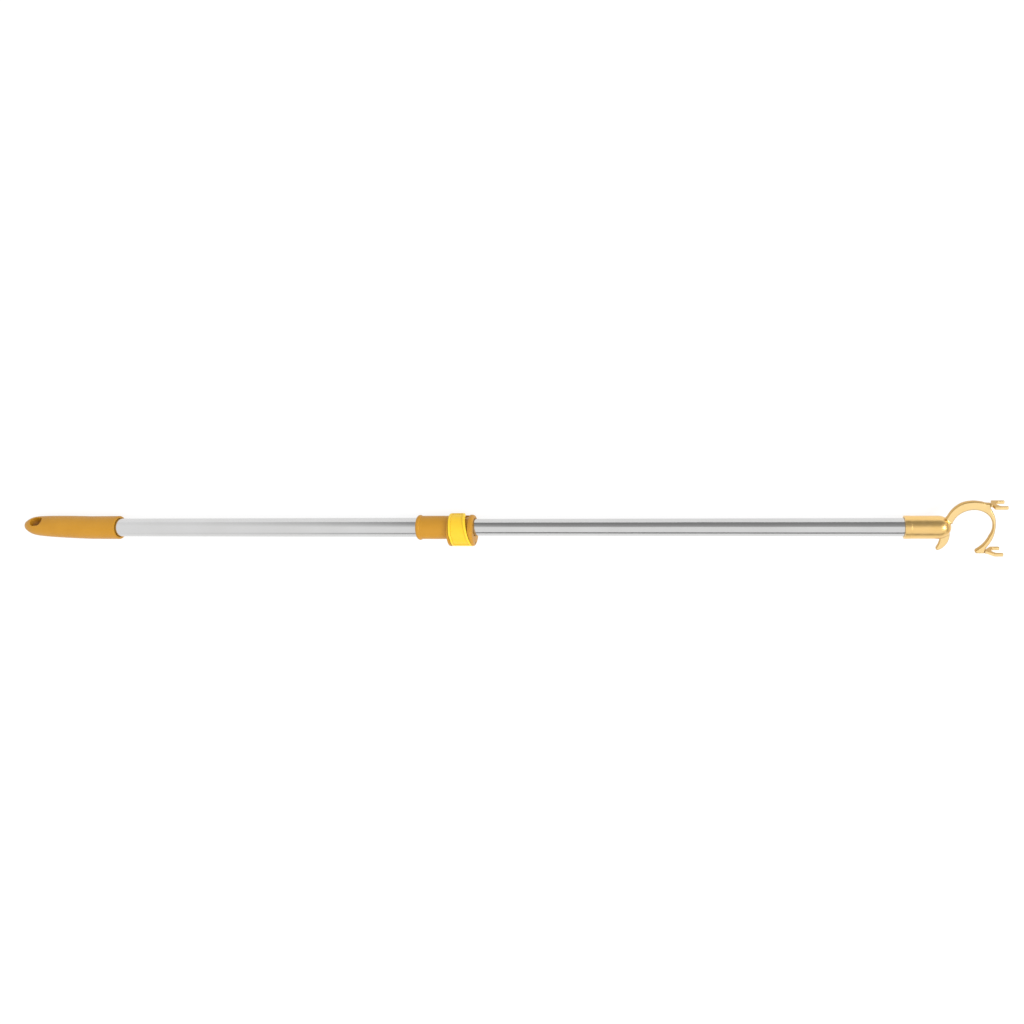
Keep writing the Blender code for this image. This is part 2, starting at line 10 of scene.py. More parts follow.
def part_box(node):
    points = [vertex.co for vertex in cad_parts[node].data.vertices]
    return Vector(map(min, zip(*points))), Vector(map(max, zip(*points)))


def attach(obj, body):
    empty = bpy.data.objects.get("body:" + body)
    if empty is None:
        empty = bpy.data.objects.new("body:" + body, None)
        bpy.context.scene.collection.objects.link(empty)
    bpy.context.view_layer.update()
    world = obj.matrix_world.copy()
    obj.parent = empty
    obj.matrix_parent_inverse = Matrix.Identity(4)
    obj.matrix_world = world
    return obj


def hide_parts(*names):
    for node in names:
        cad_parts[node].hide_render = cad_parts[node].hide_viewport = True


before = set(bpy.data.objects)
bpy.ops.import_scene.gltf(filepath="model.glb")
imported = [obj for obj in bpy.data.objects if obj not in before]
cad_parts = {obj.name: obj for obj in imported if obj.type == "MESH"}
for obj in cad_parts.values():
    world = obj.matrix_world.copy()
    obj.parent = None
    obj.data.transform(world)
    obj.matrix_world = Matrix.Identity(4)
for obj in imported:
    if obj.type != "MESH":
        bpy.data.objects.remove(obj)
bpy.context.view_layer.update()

MM = 0.001
MERGE = 0.002 * MM  # points closer than this are one
CREASE = math.radians(38.0)  # a sharper edge than this isn't shaded smooth
GAP = 0.3 * MM  # between pieces that fit together
THROUGH = 20 * MM  # a cutter's reach from the pole's axis, past every surface

# The pole's axis, and the handle side, which is turned about it
AXIS_Z = (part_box("inner_tube")[0].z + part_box("inner_tube")[1].z) / 2
HANDLE = Matrix.Translation((0, 0, AXIS_Z)) @ Matrix.Rotation(math.radians(-22), 4, "X")
HEAD = Matrix.Translation((0, 0, AXIS_Z))


# ---------------------------------------------------------------- materials


class Nodes:
    """A material's node tree, with short calls for the nodes used here."""

    def __init__(self, name):
        self.material = bpy.data.materials.new(name)
        self.material.use_nodes = True
        self.tree = self.material.node_tree
        self.shader = self.tree.nodes["Principled BSDF"]

    def add(self, kind):
        return self.tree.nodes.new(kind)

    def link(self, out, into):
        self.tree.links.new(out, into)

    def set(self, **values):
        """Sets constant values on the shader's own sockets."""
        names = {
            "metallic": "Metallic",
            "roughness": "Roughness",
            "specular": "Specular IOR Level",
            "subsurface": "Subsurface Weight",
            "subsurface_scale": "Subsurface Scale",
        }
        for key, value in values.items():
            self.shader.inputs[names[key]].default_value = value

    def coords(self, scale=(1, 1, 1)):
        """The object's own coordinates, stretched where the scale is small."""
        source = self.add("ShaderNodeTexCoord")
        mapping = self.add("ShaderNodeMapping")
        mapping.inputs["Scale"].default_value = scale
        self.link(source.outputs["Object"], mapping.inputs["Vector"])
        return mapping.outputs["Vector"]

    def noise(self, coords, scale, detail=3.0, roughness=0.5):
        node = self.add("ShaderNodeTexNoise")
        node.inputs["Scale"].default_value = scale
        node.inputs["Detail"].default_value = detail
        node.inputs["Roughness"].default_value = roughness
        self.link(coords, node.inputs["Vector"])
        return node.outputs["Fac"]

    def span(self, value, low, high, start=0.3, end=0.7):
        """A value between start and end, spread from low to high."""
        node = self.add("ShaderNodeMapRange")
        node.inputs["From Min"].default_value = start
        node.inputs["From Max"].default_value = end
        node.inputs["To Min"].default_value = low
        node.inputs["To Max"].default_value = high
        self.link(value, node.inputs["Value"])
        return node.outputs["Result"]

    def ramp(self, value, stops):
        node = self.add("ShaderNodeValToRGB")
        while len(node.color_ramp.elements) < len(stops):
            node.color_ramp.elements.new(0.5)
        for element, (position, color) in zip(node.color_ramp.elements, stops):
            element.position = position
            element.color = (*color, 1.0)
        self.link(value, node.inputs["Fac"])
        return node.outputs["Color"]

    def bump(self, height, distance, strength=1.0, under=None):
        node = self.add("ShaderNodeBump")
        node.inputs["Strength"].default_value = strength
        node.inputs["Distance"].default_value = distance
        self.link(height, node.inputs["Height"])
        if under is not None:
            self.link(under, node.inputs["Normal"])
        return node.outputs["Normal"]

    def into(self, value, name):
        self.link(value, self.shader.inputs[name])


def steel(name, color=0.63, rough=(0.10, 0.18)):
    """Drawn and polished stainless: fine lines along the pole, and a cloudier, slower variation."""
    m = Nodes(name)
    m.set(metallic=1.0)
    lines = m.noise(m.coords((6, 1, 1)), 900.0, 2.0)
    fine = m.noise(m.coords((2.5, 1, 1)), 2600.0, 1.0)
    clouds = m.noise(m.coords((1, 1, 1)), 22.0, 3.0)
    stretch = m.noise(m.coords((0.01, 1, 1)), 1400.0, 2.0)
    dark, light = (color * 0.97, color * 0.965, color * 0.96), (color * 1.02,) * 3
    m.into(m.ramp(clouds, [(0.25, dark), (0.75, light)]), "Base Color")
    m.into(m.span(stretch, *rough), "Roughness")
    first = m.bump(stretch, 0.02 * MM, 0.35)
    second = m.bump(lines, 0.004 * MM, 0.3, first)
    m.into(m.bump(fine, 0.002 * MM, 0.2, second), "Normal")
    return m.material


def plastic(name, dark, light, rough, grain, specular=0.5, subsurface=0.0):
    """Moulded plastic: a fine moulded grain, slow colour variation and rubbed patches."""
    m = Nodes(name)
    m.set(specular=specular, subsurface=subsurface, subsurface_scale=2.0 * MM)
    clouds = m.noise(m.coords(), 45.0, 4.0)
    m.into(m.ramp(clouds, [(0.3, dark), (0.7, light)]), "Base Color")
    rubbed = m.noise(m.coords((0.4, 1, 1)), 130.0, 4.0)
    m.into(m.span(rubbed, *rough), "Roughness")
    pits = m.noise(m.coords(), 1900.0, 2.0)
    waves = m.noise(m.coords(), 160.0, 2.0)
    under = m.bump(waves, 0.05 * MM, 0.25)
    m.into(m.bump(pits, grain * MM, 0.5, under), "Normal")
    return m.material


def gold(name, dark, light, rough):
    """Gold-coloured plating on a casting, with the casting's soft waves under it."""
    m = Nodes(name)
    m.set(metallic=1.0)
    clouds = m.noise(m.coords(), 60.0, 4.0)
    m.into(m.ramp(clouds, [(0.3, dark), (0.7, light)]), "Base Color")
    rubbed = m.noise(m.coords(), 300.0, 3.0)
    m.into(m.span(rubbed, *rough), "Roughness")
    waves = m.noise(m.coords(), 130.0, 2.0)
    grain = m.noise(m.coords(), 2400.0, 2.0)
    under = m.bump(waves, 0.06 * MM, 0.12)
    m.into(m.bump(grain, 0.004 * MM, 0.2, under), "Normal")
    return m.material


STEEL = steel("stainless_look")
PIN_STEEL = steel("pin_look", 0.50, (0.22, 0.34))
OCHRE = plastic("ochre_look", (0.435, 0.200, 0.009), (0.465, 0.218, 0.012), (0.36, 0.46), 0.02, 0.3)
YELLOW = plastic("yellow_look", (0.77, 0.515, 0.016), (0.80, 0.545, 0.021), (0.30, 0.40), 0.012, 0.4)
# Painted shade: a darker copy of the lever's yellow, for the floor of its recess
YELLOW_RECESS_SHADE = plastic(
    "yellow_recess_shade_look", (0.74, 0.465, 0.011), (0.77, 0.495, 0.014), (0.34, 0.44), 0.012, 0.4
)
# Painted shade: a still darker copy of the yellow, for the slopes from the rims down into the recess
YELLOW_GROOVE_SHADE = plastic(
    "yellow_groove_shade_look", (0.58, 0.32, 0.005), (0.61, 0.345, 0.007), (0.34, 0.44), 0.012, 0.4
)
NYLON = plastic("nylon_look", (0.74, 0.73, 0.69), (0.80, 0.79, 0.75), (0.42, 0.55), 0.02)
RUBBER = plastic("rubber_look", (0.022, 0.022, 0.022), (0.035, 0.035, 0.034), (0.65, 0.85), 0.05)
GOLD = gold("gold_plate_look", (0.93, 0.67, 0.30), (0.97, 0.71, 0.34), (0.28, 0.36))
# Painted shade: a darker copy of the plating's gold, for the socket and its dome
GOLD_SOCKET_SHADE = gold("gold_socket_shade_look", (0.86, 0.57, 0.21), (0.90, 0.61, 0.25), (0.28, 0.36))
# Painted shade: a darker gold for the side faces of the hook, spur and forks, which is also rougher
GOLD_SIDE_SHADE = gold("gold_side_shade_look", (0.56, 0.34, 0.10), (0.64, 0.40, 0.13), (0.36, 0.46))

for node, material in (
    ("grip", OCHRE),
    ("outer_tube", STEEL),
    ("end_buffer", RUBBER),
    ("clamp_body", OCHRE),
    ("clamp_screw", PIN_STEEL),
    ("lever", YELLOW),
    ("hinge_pin", PIN_STEEL),
    ("brake_shoe", RUBBER),
    ("inner_tube", STEEL),
    ("tail_plug", NYLON),
    ("tail_collar", NYLON),
    ("tail_pin", PIN_STEEL),
    ("hook_head", GOLD),
    ("head_screw", PIN_STEEL),
    ("upper_fork", GOLD),
    ("lower_fork", GOLD),
):
    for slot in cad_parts[node].material_slots:
        slot.material = material


# ---------------------------------------------------------------- shape helpers


def skin(rings, loop=False):
    """A closed mesh through rings of points. Its two ends are capped, or joined to each other."""
    shape = bmesh.new()
    made = [[shape.verts.new(point) for point in ring] for ring in rings]
    pairs = list(zip(made, made[1:]))
    if loop:
        pairs.append((made[-1], made[0]))
    for ring, following in pairs:
        for k in range(len(ring)):
            after = (k + 1) % len(ring)
            shape.faces.new((ring[k], ring[after], following[after], following[k]))
    if not loop:
        shape.faces.new(made[0])
        shape.faces.new(list(reversed(made[-1])))
    bmesh.ops.remove_doubles(shape, verts=shape.verts, dist=MERGE)
    bmesh.ops.recalc_face_normals(shape, faces=shape.faces)
    mesh = bpy.data.meshes.new("skin")
    shape.to_mesh(mesh)
    shape.free()
    return mesh


def ring_at(x, radius, centre_y=0.0, steps=128):
    """Points on a circle round the pole's axis, or beside it."""
    angles = [2 * math.pi * i / steps for i in range(steps)]
    return [Vector((x, centre_y + radius * math.sin(a), radius * math.cos(a))) for a in angles]


def turned(profile, loop=False, steps=128):
    """A turned shape from (x, radius) points. With loop, the profile is closed and makes a ring."""
    return skin([ring_at(x, radius, 0.0, steps) for x, radius in profile], loop)


def rounded(points, reaches, closed=False, steps=4):
    """A line whose corners are turned into arcs that start at each corner's own reach from it."""
    line = []
    last = len(points) - 1
    for i, (point, reach) in enumerate(zip(points, reaches)):
        corner = Vector(point)
        if not reach or (not closed and i in (0, last)):
            line.append(corner)
            continue
        before = Vector(points[i - 1]) - corner
        after = Vector(points[(i + 1) % len(points)]) - corner
        start = corner + before.normalized() * min(reach, 0.48 * before.length)
        end = corner + after.normalized() * min(reach, 0.48 * after.length)
        for k in range(steps + 1):
            t = k / steps
            line.append(start.lerp(corner, t).lerp(corner.lerp(end, t), t))
    return line


def supported(line, keep=0.4 * MM, longest=12 * MM):
    """The same line with extra points near the ends of its long straight runs, to hold the shading."""
    result = [line[0]]
    for a, b in zip(line, line[1:]):
        span = (b - a).length
        if span > 4 * keep:
            pieces = max(1, math.ceil((span - 2 * keep) / longest))
            for k in range(pieces + 1):
                result.append(a.lerp(b, (keep + (span - 2 * keep) * k / pieces) / span))
        result.append(b)
    return result


def rod(start, end, radius, steps=64):
    """A round bar from one point to another."""
    start, end = Vector(start), Vector(end)
    shape = bmesh.new()
    turn = (end - start).to_track_quat("Z", "Y").to_matrix().to_4x4()
    bmesh.ops.create_cone(
        shape,
        cap_ends=True,
        segments=steps,
        radius1=radius,
        radius2=radius,
        depth=(end - start).length,
        matrix=Matrix.Translation((start + end) / 2) @ turn,
    )
    mesh = bpy.data.meshes.new("rod")
    shape.to_mesh(mesh)
    shape.free()
    return mesh


def box(low, high):
    """A plain block between two corners."""
    low, high = Vector(low), Vector(high)
    place = Matrix.Translation((low + high) / 2) @ Matrix.Diagonal((*(high - low), 1.0))
    shape = bmesh.new()
    bmesh.ops.create_cube(shape, size=1.0, matrix=place)
    mesh = bpy.data.meshes.new("box")
    shape.to_mesh(mesh)
    shape.free()
    return mesh


def modified(mesh, kind, settings):
    """The mesh after one modifier for each set of settings."""
    target = bpy.data.objects.new("target", mesh)
    bpy.context.scene.collection.objects.link(target)
    for values in settings:
        modifier = target.modifiers.new("step", kind)
        for key, value in values.items():
            setattr(modifier, key, value)
    bpy.context.view_layer.update()
    graph = bpy.context.evaluated_depsgraph_get()
    made = bpy.data.meshes.new_from_object(target.evaluated_get(graph))
    bpy.data.objects.remove(target, do_unlink=True)
    return made


def combined(mesh, others, operation="DIFFERENCE"):
    """The mesh with each of the others cut away from it or joined to it."""
    helpers = []
    for other in others:
        helper = bpy.data.objects.new("helper", other)
        bpy.context.scene.collection.objects.link(helper)
        helpers.append(helper)
    made = modified(mesh, "BOOLEAN", [{"operation": operation, "object": helper} for helper in helpers])
    for helper in helpers:
        bpy.data.objects.remove(helper, do_unlink=True)
    return made


def piece(name, mesh, place, body, material):
    """Puts a detailed shape in place of the CAD node that its name starts with."""
    mesh.transform(place)
    mesh.shade_smooth()
    mesh.set_sharp_from_angle(angle=CREASE)
    mesh.materials.clear()
    mesh.materials.append(material)
    obj = bpy.data.objects.new(name + "_fine", mesh)
    bpy.context.scene.collection.objects.link(obj)
    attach(obj, body)
    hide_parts(name)
    return obj


def tint(obj, material, chosen):
    """Gives the faces for which chosen(face) holds a material of their own."""
    obj.data.materials.append(material)
    index = len(obj.data.materials) - 1
    for face in obj.data.polygons:
        if chosen(face):
            face.material_index = index


# ---------------------------------------------------------------- grip


GRIP_BORE_R = 11.3 * MM
GRIP_BORE_TAIL_X = -500.3 * MM
NOSE_START_X = -470.0 * MM
NOSE_RISE = 0.0274
HOLE_X = -543.0 * MM
HOLE_HALF_LENGTH = 8.4 * MM
HOLE_HALF_WIDTH = 5.8 * MM
HOLE_TILT = math.radians(32.0)
HOLE_EDGE = 1.1 * MM  # how far from the hole's mouth its edge is softened
HOLE_EDGE_ANGLE = math.radians(28)  # the least angle of an edge that counts as the mouth
HOLE_ZONE = 14 * MM  # how far towards the hook the hole's part of the grip reaches
HOLE_CORE = 4 * MM  # no edge of the hole's mouth is this close to the grip's middle
HOLE_SIDE_POINTS = 8  # between the ends of each straight side
GRIP_ROWS = 230
GRIP_STEPS = 160  # points round the grip

# Distance from the tip and radius, in millimetres
NOSE = ((0, 0), (0.3, 2.5), (1.4, 5.1), (4.2, 7.1), (7.0, 8.8), (12.8, 10.9), (18.5, 11.9), (26, 12.5))
NOSE += ((36, 13.0), (50, 13.45), (70, 13.8), (100, 14.0), (124, 14.1))


def nose_radius(root):
    """The grip's radius at a distance from its tip, whose square root is given, on a smooth curve."""
    knots = [(math.sqrt(back), radius) for back, radius in NOSE]
    slopes = [(b[1] - a[1]) / (b[0] - a[0]) for a, b in zip(knots, knots[1:])]
    slopes = [slopes[0]] + [(a + b) / 2 for a, b in zip(slopes, slopes[1:])] + [0.0]
    i = max(k for k in range(len(knots) - 1) if knots[k][0] <= root or k == 0)
    width = knots[i + 1][0] - knots[i][0]
    t = (root - knots[i][0]) / width
    height = (2 * t**3 - 3 * t**2 + 1) * knots[i][1] + (3 * t**2 - 2 * t**3) * knots[i + 1][1]
    lean = (t**3 - 2 * t**2 + t) * slopes[i] + (t**3 - t**2) * slopes[i + 1]
    return height + width * lean


def obround_ring(level, turn):
    """The hanging hole's outline at one level along its own axis."""
    straight = HOLE_HALF_LENGTH - HOLE_HALF_WIDTH
    points = []
    for side in (1, -1):
        for i in range(33):
            angle = math.radians(-90 + 180 * i / 32) if side == 1 else math.radians(90 + 180 * i / 32)
            x = side * straight + HOLE_HALF_WIDTH * math.cos(angle)
            points.append(turn @ Vector((x, HOLE_HALF_WIDTH * math.sin(angle), level)))
        for i in range(1, HOLE_SIDE_POINTS + 1):
            x = side * straight * (1 - 2 * i / (HOLE_SIDE_POINTS + 1))
            points.append(turn @ Vector((x, side * HOLE_HALF_WIDTH, level)))
    return points


def soften(mesh, reach, inside):
    """Rounds the sharp edges that lie where inside(point) holds, with the surface close to them."""
    shape = bmesh.new()
    shape.from_mesh(mesh)
    bmesh.ops.triangulate(shape, faces=shape.faces)
    rim = set()
    for edge in shape.edges:
        if len(edge.link_faces) == 2 and edge.calc_face_angle(0) > HOLE_EDGE_ANGLE:
            rim.update(vertex for vertex in edge.verts if inside(vertex.co))
    tree = kdtree.KDTree(len(rim))
    for i, vertex in enumerate(rim):
        tree.insert(vertex.co, i)
    tree.balance()
    near = [v for v in shape.verts if inside(v.co) and tree.find(v.co)[2] < reach]
    for _ in range(10):
        bmesh.ops.smooth_vert(
            shape, verts=near, factor=0.5, use_axis_x=True, use_axis_y=True, use_axis_z=True
        )
    shape.to_mesh(mesh)
    shape.free()


def make_grip():
    """The grip: a long nose that rises towards its tip, a bore for the tube and a slanted hole."""
    low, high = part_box("grip")
    longest = math.sqrt(NOSE[-1][0])
    rings = []
    for i in range(GRIP_ROWS + 1):
        root = longest * i / GRIP_ROWS
        x = low.x + root**2 * MM
        rise = NOSE_RISE * max(0.0, NOSE_START_X - x)
        rings.append(ring_at(x, nose_radius(root) * MM, rise, GRIP_STEPS))
    radius = NOSE[-1][1] * MM
    corners = [(low.x + NOSE[-1][0] * MM, radius), (high.x, radius), (high.x, GRIP_BORE_R)]
    corners += [(GRIP_BORE_TAIL_X, GRIP_BORE_R), (GRIP_BORE_TAIL_X, 0)]
    line = supported(rounded(corners, (0, 0.8 * MM, 0.5 * MM, 0.3 * MM, 0)))
    rings += [ring_at(x, r, 0.0, GRIP_STEPS) for x, r in line[1:]]
    grip = skin(rings)
    centre = Vector((HOLE_X, NOSE_RISE * (NOSE_START_X - HOLE_X), 0))
    turn = Matrix.Translation(centre) @ Matrix.Rotation(-HOLE_TILT, 4, "X")
    levels = [-THROUGH + 0.5 * i * MM for i in range(81)]
    grip = combined(grip, [skin([obround_ring(level, turn) for level in levels])])

    def near_mouth(point):
        """Whether a point is in the hole's part of the grip, and not close to the hole's middle."""
        off_middle = math.hypot(point.y - centre.y, point.z)
        return point.x < HOLE_X + HOLE_ZONE and off_middle > HOLE_CORE

    soften(grip, HOLE_EDGE, near_mouth)
    piece("grip", grip, HANDLE, "handle", OCHRE)


# ---------------------------------------------------------------- tubes


OUTER_TUBE_R = 11.0 * MM
INNER_TUBE_R = 9.5 * MM
WALL = 0.5 * MM
SCREW_R = 1.4 * MM  # a screw's hole
SCREW_HEAD_R = 2.4 * MM
TAIL_PIN_R = 1.5 * MM
CLAMP_SCREW_X = -36.0 * MM
HEAD_SCREW_X = 480.0 * MM
TAIL_PIN_X = -33.0 * MM


def make_tube(name, radius, place, body, holes):
    """A drawn tube with softly rounded lips."""
    low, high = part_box(name)
    corners = [(low.x, radius), (high.x, radius), (high.x, radius - WALL), (low.x, radius - WALL)]
    line = rounded(corners, [0.2 * MM] * 4, closed=True)
    line = supported(line + line[:1])[:-1]
    mesh = combined(turned(line, loop=True), holes)
    piece(name, mesh, place, body, STEEL)


def make_tubes():
    """Both tubes, with the holes for their screws and for the inner tube's cross pin."""
    hole = rod((CLAMP_SCREW_X, 0, -THROUGH), (CLAMP_SCREW_X, 0, 0), SCREW_R)
    make_tube("outer_tube", OUTER_TUBE_R, HANDLE, "handle", [hole])
    pin = rod((TAIL_PIN_X, 0, -THROUGH), (TAIL_PIN_X, 0, THROUGH), TAIL_PIN_R)
    screw = rod((HEAD_SCREW_X, 0, -THROUGH), (HEAD_SCREW_X, 0, 0), SCREW_R)
    make_tube("inner_tube", INNER_TUBE_R, HEAD, "head", [pin, screw])


# ---------------------------------------------------------------- clamp and lever


SLEEVE_R = 13.2 * MM
BEAD_R = 14.3 * MM
BARREL = (-3.45 * MM, 17.75 * MM)  # centre y and radius, as in the next two
LAND = (-3.3 * MM, 16.3 * MM)
LEVER_OUTSIDE = (-2.5 * MM, 18.74 * MM)
BARREL_TAIL_X = -12.0 * MM
FLANGE_TAIL_X = 12.0 * MM
STEP_X = -20.0 * MM  # the bore is wider behind here, for the outer tube
REAR_BORE_R = 11.3 * MM
FRONT_BORE_R = 9.9 * MM
SEAT_END = 112.0  # degrees from +Z, both ways
SEAT_CLEARANCE = 0.5 * MM
HINGE_Y = -17.4 * MM
PIN_BORE_R = 1.55 * MM
PIN_TAIL_X = -10.8 * MM
POCKET = (-9.2 * MM, 15.9 * MM, 4.8 * MM)  # tail, front and radius
SEAT_GROOVE = 1.6 * MM  # depth of the open groove between the lever and the flange
SHOE_X = 4.4 * MM
WINDOW_HALF_LENGTH = 7.3 * MM  # the opening for the cam and the brake shoe
WINDOW_HALF_WIDTH = 5.7 * MM
WINDOW_END_Y = -4.75 * MM  # inside the bore
LEVER_START = -96.0  # degrees from +Z towards +Y
LEVER_END = 86.0
LEVER_TAIL_X = -9.7 * MM
LEVER_TAIL_LEAN = math.radians(4.5)
LEVER_HEEL_X = -8.5 * MM  # the tail edge beside the hinge
HEEL_START_Y = -7.0 * MM
HEEL_EASE = 8.0 * MM  # the tail edge takes this much of y to reach the heel
LEVER_FRONT_X = 11.0 * MM
LEVER_FRONT_LEAN = math.radians(12.0)


def eased(value):
    """A smooth step from 0 to 1."""
    value = min(1.0, max(0.0, value))
    return value * value * (3 - 2 * value)


def from_axis(circle, degrees):
    """How far a circle beside the pole's axis is from that axis, at an angle from +Z towards +Y."""
    centre, radius = circle
    angle = math.radians(degrees)
    return centre * math.sin(angle) + math.sqrt(radius**2 - (centre * math.cos(angle)) ** 2)


def lever_tail(y, clearance=0.0):
    """Where the lever's tail edge is along the pole. It leans, and turns in beside the hinge."""
    straight = LEVER_TAIL_X - max(0.0, y) * math.tan(LEVER_TAIL_LEAN)
    turned_in = eased((HEEL_START_Y - y) / HEEL_EASE)
    return straight + (LEVER_HEEL_X - straight) * turned_in - clearance


def lever_front(y, clearance=0.0):
    """Where the lever's leaning front edge is along the pole."""
    return LEVER_FRONT_X + clearance - (y - LEVER_OUTSIDE[0]) * math.tan(LEVER_FRONT_LEAN)


def clamp_line(degrees, tail, front):
    """The clamp body's outline in the plane at one angle round the pole, as (x, radius) points."""
    barrel = from_axis(BARREL, degrees)
    seated = abs(degrees) < SEAT_END
    land = from_axis(LAND, degrees) if seated else barrel
    y = land * math.sin(math.radians(degrees))
    seat_tail = lever_tail(y, SEAT_CLEARANCE)
    seat_front = max(lever_front(y, SEAT_CLEARANCE), FLANGE_TAIL_X)
    groove_tail = min(lever_front(y) - 0.9 * MM, seat_front - 1.2 * MM)
    groove = land - (SEAT_GROOVE if seated else 0.0)
    shoulder = max(front - 1.6 * MM, seat_front + 0.3 * MM)
    bead = tail + 5.0 * MM
    soft = 0.7 * MM
    corners = [
        ((tail, REAR_BORE_R), 0.3 * MM),
        ((tail, SLEEVE_R - 0.2 * MM), 0.5 * MM),
        ((tail + 1.3 * MM, BEAD_R - 0.2 * MM), 1.0 * MM),
        ((bead - 1.5 * MM, BEAD_R), 1.0 * MM),
        ((bead - 0.4 * MM, SLEEVE_R), 0.4 * MM),
        ((BARREL_TAIL_X, SLEEVE_R), 0.6 * MM),
        ((BARREL_TAIL_X, barrel), 1.0 * MM),
        ((seat_tail, barrel), 0.3 * MM),
        ((seat_tail, land), 0.3 * MM),
        ((groove_tail, land), 0.2 * MM),
        ((groove_tail, groove), 0.2 * MM),
        ((seat_front, groove), 0.3 * MM),
        ((seat_front, barrel), soft),
        ((shoulder, barrel), 1.4 * MM),
        ((front, barrel - 2.0 * MM), 1.4 * MM),
        ((front, FRONT_BORE_R), soft),
        ((STEP_X, FRONT_BORE_R), 0.0),
        ((STEP_X, REAR_BORE_R), 0.0),
    ]
    points, reaches = zip(*corners)
    return rounded(points, reaches, closed=True, steps=5)


def clamp_angles():
    """Even steps round the pole, with close pairs where the seat ends."""
    even = [-180 + 2.0 * i for i in range(180)]
    ends = [sign * (SEAT_END + step) for sign in (1, -1) for step in (-0.4, 0.4)]
    clear = [a for a in even if all(abs(a - end) > 0.3 for end in ends)]
    return sorted(clear + ends)


def make_clamp():
    """The clamp body, with the knuckle's pocket, the shoe's window, and bores for the pin and screw."""
    low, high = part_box("clamp_body")
    rings = []
    for degrees in clamp_angles():
        side, up = math.sin(math.radians(degrees)), math.cos(math.radians(degrees))
        line = clamp_line(degrees, low.x, high.x)
        rings.append([Vector((x, r * side, r * up)) for x, r in line])
    pocket = rod((POCKET[0], HINGE_Y, 0), (POCKET[1], HINGE_Y, 0), POCKET[2])
    window = box(
        (SHOE_X - WINDOW_HALF_LENGTH, HINGE_Y + 2 * MM, -WINDOW_HALF_WIDTH),
        (SHOE_X + WINDOW_HALF_LENGTH, WINDOW_END_Y, WINDOW_HALF_WIDTH),
    )
    pin = rod((PIN_TAIL_X, HINGE_Y, 0), (high.x + MM, HINGE_Y, 0), PIN_BORE_R, 40)
    outside = (CLAMP_SCREW_X, 0, -SLEEVE_R - MM)
    shank = rod(outside, (CLAMP_SCREW_X, 0, -10 * MM), SCREW_R, 40)
    head = rod(outside, (CLAMP_SCREW_X, 0, -SLEEVE_R + 1.2 * MM), SCREW_HEAD_R, 40)
    clamp = combined(skin(rings, loop=True), [pocket, window, pin, shank, head])
    piece("clamp_body", clamp, HANDLE, "handle", OCHRE)


KNUCKLE_R = 3.7 * MM
CAM_R = 3.9 * MM
CAM_OFFSET = 0.5 * MM  # from the hinge pin towards the pole
LEVER_RIM = 2.5 * MM  # width of the raised rim along each edge
LEVER_END_RIM = 2.6 * MM  # the same at the free end
LEVER_END_EASE = 1.6 * MM  # along the lever, from that rim down to the recess
LEVER_END_ROUND = 0.9 * MM  # the free end's outer edge
LEVER_PLAIN = 9.0 * MM  # beside the hinge, where the lever isn't sunk
LEVER_PLAIN_EASE = 2.0 * MM
LEVER_RECESS = 0.95 * MM
LEVER_RIBS = 7  # faint ribs along the recess
LEVER_RIB_HEIGHT = 0.07 * MM
LEVER_CORNER_LENGTH = 7.0 * MM
LEVER_CORNER_WIDTH = 2.0 * MM
LEVER_EDGE_R = 0.7 * MM
LEVER_STEPS = 150  # rings along the lever
RECESS_FROM = 0.8 * LEVER_RECESS  # faces sunk deeper than this are the floor of the recess, which gets painted shade
GROOVE_FROM = 0.12 * LEVER_RECESS  # and those deeper than this are its groove, which gets a darker painted shade
RIM_SLOPE = 0.6 * MM


